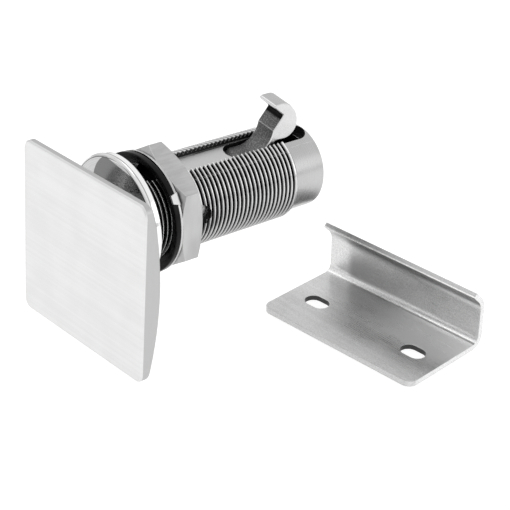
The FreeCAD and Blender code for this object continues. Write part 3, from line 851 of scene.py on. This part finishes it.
# Painted shade: the downward faces under the curled lip are dark.
CURL = (
    Limit(RISES, -0.10, -0.45),
    Limit(ABOVE, 10.0, 11.5),
    Limit(RIGHTWARD, 5.0, 9.0, 0.35, 1.0),
)
LIP = (Limit(LEANS, 0.97, 0.99), Limit(ABOVE, 11.0, 12.0))
# Painted highlight: a white line along the lower edge of the lip's end face.
LIP_EDGE = Limit(on_strike((DEPTH + UP).normalized()), 31.15, 30.95)
# Painted shade: the walls inside the two slots are near black.
SLOT_WALLS = (
    Limit(Measure(Kind.NORMAL, tuple(UP), either_side=True), 0.25, 0.15),
    Limit(on_strike(ACROSS, 28.85, either_side=True), 27.0, 26.0),
    Limit(on_strike(DEPTH, 13.4, either_side=True), 5.0, 4.0),
)
FLECKS = Limit(Measure(Kind.SPECKS, patches=110.0), 0.38, 0.62)

STRIKE_COATS = (
    # Painted light: the upright wall's front face is lighter than the sheet's own tone.
    Coat("wall", 0.76, Mask(WALL, 0.85)),
    Coat("painted dark reflection on the wall", 0.26, Mask((*WALL, *WALL_DARK_REFLECTION), 0.85)),
    Coat("front edge", 0.56, Mask((FACES_FRONT, Limit(SETBACK, 4.0, 2.0)), 0.85)),
    Coat("painted light on the base", 0.98, Mask(BASE_LIGHT_POOL)),
    Coat("painted shade under the curl", 0.16, Mask(CURL, 0.9)),
    # Painted highlight: a light line along the inside of the fold up to the wall.
    Coat("painted bend highlight", 0.92, Mask((Limit(LEANS, 0.92, 0.985), Limit(ABOVE, 5.0, 4.0)), 0.9)),
    Coat("lip", 0.56, Mask(LIP, 0.85)),
    Coat("painted highlight on the lip's edge", 1.0, Mask((*LIP, LIP_EDGE))),
    Coat("cut ends", 0.86, Mask((CUT_ENDS,), 0.8)),
    Coat("flecks", 0.30, Mask((FLECKS,), 0.30, spared=BASE_LIGHT_POOL)),
    Coat("painted shade in the slots", 0.05, Mask(SLOT_WALLS)),
)

BRASS = (1.0, 0.78, 0.42)

FINISHES: dict[str, MetalFinish | RubberFinish] = {
    finish.name: finish
    for finish in (
        MetalFinish(
            "plate_satin", 0.73, 0.68, 0.40, 0.03, Grain.PLATE, bump=0.03, patches=90.0, edge_share=0.4,
            coats=PLATE_COATS, polish=(Limit(FACES_BACK, 0.40, 0.80, 1.0, 0.5),),
        ),
        MetalFinish(
            "barrel_polished", 0.70, 0.58, 0.16, 0.05,
            turning_cells=3500.0, bump=0.06, groove_shade_share=0.4, groove_shade_reach=0.0016,
            coats=BARREL_COATS, polish=(Limit(PLACE_ALONG, -0.5, -1.0, 1.0, 0.35),),
            dull=(Mask(KEYWAY_FLOOR, 0.40, others=MILLED_WALLS), Mask((PLAIN_END,), 0.12)),
        ),
        MetalFinish("nut_brushed", 0.54, 0.44, 0.36, 0.08, Grain.NUT, bump=0.16, groove_shade_share=0.7),
        MetalFinish(
            "washer_bright", 0.60, 0.50, 0.26, 0.06, turning_cells=4200.0, bump=0.08, coats=WASHER_COATS
        ),
        MetalFinish(
            "hook_polished", 0.68, 0.61, 0.30, 0.07, Grain.HOOK,
            bump=0.12, groove_shade_share=0.75, groove_shade_reach=0.0032,
            coats=HOOK_COATS, dull=(Mask(ROUGH_FRONT, 0.35, others=ROUGH_SWEEP),),
        ),
        MetalFinish(
            "strike_mill", 0.66, 0.57, 0.31, 0.07, Grain.STRIKE,
            bump=0.14, patches=90.0, edge_share=0.9, coats=STRIKE_COATS,
        ),
        MetalFinish("inner_steel", 0.62, 0.46, 0.32, 0.08, turning_cells=3000.0, bump=0.10),
        MetalFinish("pin_steel", 0.95, 0.40, 0.60, 0.10, bump=0.20, patches=420.0),
        # Painted shade: the end plug, deep in the barrel, is dark grey.
        MetalFinish("plug_steel_in_painted_shade", 0.16, 0.10, 0.34, 0.08, turning_cells=2600.0, bump=0.12, edge_share=0.3),
        MetalFinish("spring_wire", 0.60, 0.42, 0.28, 0.06, bump=0.08, patches=300.0),
        MetalFinish(
            "bush_brass", 0.80, 0.60, 0.30, 0.08,
            turning_cells=3600.0, bump=0.10, tint=BRASS, edge_colour=(0.92, 0.76, 0.46),
        ),
        RubberFinish("gasket_rubber"),
        RubberFinish("seal_rubber", roughness=0.28),
    )
}


class Wardrobe:
    """Builds each finish once and dresses objects in it."""

    def __init__(self) -> None:
        """Start with nothing built."""
        self.made: dict[str, bpy.types.Material] = {}

    def dress(self, piece: bpy.types.Object, finish: str) -> None:
        """Give an object one finish.

        Args:
            piece: The object.
            finish: The finish's name in FINISHES.
        """
        if finish not in self.made:
            self.made[finish] = FINISHES[finish].build()
        piece.data.materials.clear()
        piece.data.materials.append(self.made[finish])
        LOG.info("%s wears %s", piece.name, finish)


def turned_mesh(name: str, profile: list[tuple[float, float]], segments: int) -> bpy.types.Object:
    """Turn a closed profile round the barrel's axis.

    Args:
        name: The new object's name.
        profile: Points (radius, place along the axis) in metres, in order round the section.
        segments: How many steps the turn has.

    Returns:
        The new object.
    """
    bench = bmesh.new()
    rings = []
    for step in range(segments):
        angle = 2.0 * math.pi * step / segments
        rings.append([bench.verts.new((r * math.cos(angle), y, r * math.sin(angle))) for r, y in profile])
    for step, ring in enumerate(rings):
        following = rings[(step + 1) % segments]
        for index, corner in enumerate(ring):
            after = (index + 1) % len(profile)
            bench.faces.new((corner, following[index], following[after], ring[after]))
    return finished_mesh(name, bench)


def coiled_mesh(
    name: str, radius: float, wire: float, start: float, end: float, turns: float
) -> bpy.types.Object:
    """Coil a round wire about the barrel's axis, right-handed, with flat closed ends.

    Args:
        name: The new object's name.
        radius: The coil's radius to the wire's middle.
        wire: The wire's own radius.
        start: Where the wire's middle starts along the axis.
        end: Where it ends.
        turns: How many turns the coil has.

    Returns:
        The new object.
    """
    bench = bmesh.new()
    steps = round(COIL_STEPS * turns)
    rings = []
    for step in range(steps + 1):
        angle = 2.0 * math.pi * turns * step / steps
        outward = Vector((math.sin(angle), 0.0, math.cos(angle)))
        middle = outward * radius + Vector((0.0, start + (end - start) * step / steps, 0.0))
        ring = []
        for side in range(WIRE_SIDES):
            round_wire = 2.0 * math.pi * side / WIRE_SIDES
            offset = outward * math.cos(round_wire) + Vector((0.0, math.sin(round_wire), 0.0))
            ring.append(bench.verts.new(middle + offset * wire))
        rings.append(ring)
    for ring, following in zip(rings, rings[1:]):
        for side in range(WIRE_SIDES):
            after = (side + 1) % WIRE_SIDES
            bench.faces.new((ring[side], following[side], following[after], ring[after]))
    bench.faces.new(rings[0])
    bench.faces.new(rings[-1])
    return finished_mesh(name, bench)


def finished_mesh(name: str, bench: bmesh.types.BMesh) -> bpy.types.Object:
    """Make an object of a closed mesh, smooth but for its sharp edges.

    Args:
        name: The new object's name.
        bench: The mesh's points and faces, which are used up.

    Returns:
        The new object.
    """
    bmesh.ops.recalc_face_normals(bench, faces=bench.faces)
    mesh = bpy.data.meshes.new(name)
    bench.to_mesh(mesh)
    bench.free()
    mesh.shade_smooth()
    mesh.set_sharp_from_angle(angle=SMOOTH_ANGLE)
    made = bpy.data.objects.new(name, mesh)
    bpy.context.scene.collection.objects.link(made)
    return made


def rounded_section(
    inner: float, outer: float, front: float, rear: float, radius: float, steps: int
) -> list[tuple[float, float]]:
    """A rectangle with rounded corners, as a turned section.

    Args:
        inner: The smallest radius from the axis.
        outer: The largest radius from the axis.
        front: The lowest place along the axis.
        rear: The highest place along the axis.
        radius: The corners' rounding.
        steps: How many steps each corner has.

    Returns:
        The section's points in order.
    """
    centres = (
        (outer - radius, rear - radius, 0.0),
        (inner + radius, rear - radius, 90.0),
        (inner + radius, front + radius, 180.0),
        (outer - radius, front + radius, 270.0),
    )
    points = []
    for across, along, start in centres:
        for step in range(steps + 1):
            angle = math.radians(start + 90.0 * step / steps)
            points.append((across + radius * math.cos(angle), along + radius * math.sin(angle)))
    return points


@dataclass
class SubAssembly:
    """Some CAD nodes of the part, each with the finish that it wears."""

    wardrobe: Wardrobe
    finishes: Outfit = ()

    def build(self) -> None:
        """Dress every node of the sub-assembly."""
        for node, finish in self.finishes:
            self.wardrobe.dress(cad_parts[node], finish)


@dataclass
class PullPlate(SubAssembly):
    """The square pull plate, its set screw and the stem behind it."""

    finishes: Outfit = (
        ("front_plate", "plate_satin"),
        ("plate_set_screw", "inner_steel"),
        ("pull_stem", "inner_steel"),
    )


@dataclass
class Barrel(SubAssembly):
    """The threaded barrel with the bush, seal, spring and plunger that it holds."""

    finishes: Outfit = (
        ("barrel", "barrel_polished"),
        ("stem_bush", "bush_brass"),
        ("stem_o_ring", "seal_rubber"),
        ("plunger", "inner_steel"),
        ("pivot_pin", "pin_steel"),
        ("end_plug", "plug_steel_in_painted_shade"),
    )
    wire_radius: float = 0.0005
    spring_turns: float = 4.0
    pull_travel: float = 0.005

    def build(self) -> None:
        """Dress the barrel and what is inside it, and make the spring."""
        super().build()
        self.spring()

    def spring(self) -> bpy.types.Object:
        """Make the return spring, which the plunger presses together as the plate is pulled.

        Returns:
            The spring.
        """
        low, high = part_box("return_spring")
        coil = coiled_mesh(
            "spring_coil",
            high.x - self.wire_radius,
            self.wire_radius,
            low.y + self.wire_radius,
            high.y - self.wire_radius,
            self.spring_turns,
        )
        self.wardrobe.dress(coil, "spring_wire")
        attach(coil, "barrel")
        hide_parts("return_spring")
        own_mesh(coil)
        return coil


@dataclass
class PanelStack(SubAssembly):
    """The rubber gasket, the tab washer and the nut that clamp the panel."""

    finishes: Outfit = (("tab_washer", "washer_bright"), ("hex_nut", "nut_brushed"))
    gasket_width: float = 0.0018
    gasket_rounding: float = 0.0003
    gasket_lean: float = 0.04
    gasket_segments: int = 192
    corner_steps: int = 5

    def build(self) -> None:
        """Dress the washer and the nut, and make the gasket."""
        super().build()
        self.gasket()

    def gasket(self) -> bpy.types.Object:
        """Make the moulded ring with soft edges, leaning forward on its far side.

        Returns:
            The ring.
        """
        low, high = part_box("panel_gasket")
        outer = high.x
        inner = outer - self.gasket_width
        section = rounded_section(inner, outer, low.y, high.y, self.gasket_rounding, self.corner_steps)
        ring = turned_mesh("gasket_ring", section, self.gasket_segments)
        for corner in ring.data.vertices:
            corner.co.y -= self.gasket_lean * (outer - corner.co.x)
        self.wardrobe.dress(ring, "gasket_rubber")
        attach(ring, "barrel")
        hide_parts("panel_gasket")
        return ring


@dataclass
class HookUnit(SubAssembly):
    """The hook and the cam pin through its lever."""

    finishes: Outfit = (("hook", "hook_polished"), ("cam_pin", "inner_steel"))


@dataclass
class Strike(SubAssembly):
    """The bent strike plate."""

    finishes: Outfit = (("strike_plate", "strike_mill"),)


@dataclass(frozen=True)
class SoftBox:
    """One square soft light: its place, its side in metres and its power in watts."""

    name: str
    place: Triple
    side: float
    power: float

    def hang(self, target: Triple) -> None:
        """Hang the light, facing a point.

        Args:
            target: The point.
        """
        data = bpy.data.lights.new(self.name, "AREA")
        data.shape = "SQUARE"
        data.size = self.side
        data.energy = self.power
        lamp = bpy.data.objects.new(self.name, data)
        lamp.location = self.place
        lamp.rotation_euler = (Vector(target) - Vector(self.place)).to_track_quat("-Z", "Y").to_euler()
        bpy.context.scene.collection.objects.link(lamp)


@dataclass
class Studio:
    """The pale floor, the soft lights and the camera."""

    floor_gap: float = 0.0004
    floor_half: float = 4.0
    floor_tone: float = 0.40
    paper_cells: float = 400.0
    paper_dimming: float = 0.97
    paper_span: tuple[float, float] = (0.3, 0.7)
    paper_roughness: float = 0.9
    paper_sheen: float = 0.2
    floor_glow: float = 0.80
    world_tone: float = 1.0
    world_strength: float = 0.95
    low_tone: float = 0.72
    light_height: float = 0.35
    low_height: float = -0.05
    target: Triple = (0.02, 0.03, 0.0)
    boxes: tuple[SoftBox, ...] = (
        SoftBox("key_box", (-0.25, -0.10, 0.75), 0.5, 0.8),
        SoftBox("side_box", (0.75, 0.45, 0.30), 0.45, 0.5),
    )
    eye: Triple = (0.315269, -0.242993, 0.194244)
    right: Triple = (0.66161722, 0.74752398, 0.0589114)
    up: Triple = (-0.37761302, 0.26427839, 0.88744878)
    back: Triple = (0.64782023, -0.60939711, 0.45712592)
    sensor: float = 36.0
    lens: float = 115.40
    nearest: float = 0.01
    shift: tuple[float, float] = (-0.01285, 0.00715)

    def build(self) -> None:
        """Make the camera, the floor, the world and the lights."""
        self.camera()
        self.floor()
        self.world()
        for box in self.boxes:
            box.hang(self.target)

    def camera(self) -> None:
        """Set the camera at the photograph's angle."""
        data = bpy.data.cameras.new("camera")
        data.sensor_width = self.sensor
        data.lens = self.lens
        data.shift_x, data.shift_y = self.shift
        data.clip_start = self.nearest
        eye = bpy.data.objects.new("camera", data)
        turn = Matrix((self.right, self.up, self.back)).transposed().to_4x4()
        eye.matrix_world = Matrix.Translation(Vector(self.eye)) @ turn
        bpy.context.scene.collection.objects.link(eye)
        bpy.context.scene.camera = eye

    def floor(self) -> None:
        """Lay a wide pale floor just under the strike plate."""
        half = self.floor_half
        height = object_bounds()[0][2] - self.floor_gap
        mesh = bpy.data.meshes.new("floor")
        corners = [(x * half, y * half, height) for x, y in ((-1, -1), (1, -1), (1, 1), (-1, 1))]
        mesh.from_pydata(corners, [], [(0, 1, 2, 3)])
        sheet = bpy.data.objects.new("floor", mesh)
        bpy.context.scene.collection.objects.link(sheet)
        bench, shader, made = new_material("floor_paper")
        position = bench.add("ShaderNodeTexCoord").outputs["Object"]
        paper = bench.ramp(bench.noise(position, self.paper_cells, detail=2.0), *self.paper_span)
        pale = bench.tone(paper, grey(self.floor_tone), self.paper_dimming * self.floor_tone)
        bench.feed(shader.inputs["Base Color"], pale)
        shader.inputs["Emission Color"].default_value = grey(1.0)
        shader.inputs["Emission Strength"].default_value = self.floor_glow
        shader.inputs["Roughness"].default_value = self.paper_roughness
        shader.inputs["Specular IOR Level"].default_value = self.paper_sheen
        mesh.materials.append(made)
        sheet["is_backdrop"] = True

    def world(self) -> None:
        """Surround the part with pale light that grows dimmer towards the horizon."""
        made = bpy.data.worlds.new("studio")
        made.use_nodes = True
        made.node_tree.nodes.clear()
        bench = NodeBench(made.node_tree)
        way = bench.add("ShaderNodeTexCoord").outputs["Generated"]
        height = bench.toward(way, UPWARD)
        low = bench.ramp(height, self.light_height, self.low_height)
        glow = bench.add("ShaderNodeBackground")
        bench.feed(glow.inputs["Color"], bench.tone(low, grey(self.world_tone), self.low_tone))
        glow.inputs["Strength"].default_value = self.world_strength
        out = bench.add("ShaderNodeOutputWorld")
        bench.feed(out.inputs["Surface"], glow.outputs[0])
        bpy.context.scene.world = made


def main() -> None:
    """Build every sub-assembly and the studio."""
    logging.basicConfig(level=logging.INFO, format="%(name)s: %(message)s")
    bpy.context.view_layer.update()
    bpy.context.scene.view_settings.view_transform = "Standard"
    SharedEffects().build()
    wardrobe = Wardrobe()
    PullPlate(wardrobe).build()
    Barrel(wardrobe).build()
    PanelStack(wardrobe).build()
    HookUnit(wardrobe).build()
    Strike(wardrobe).build()
    Studio().build()


if __name__ == "__main__":
    main()
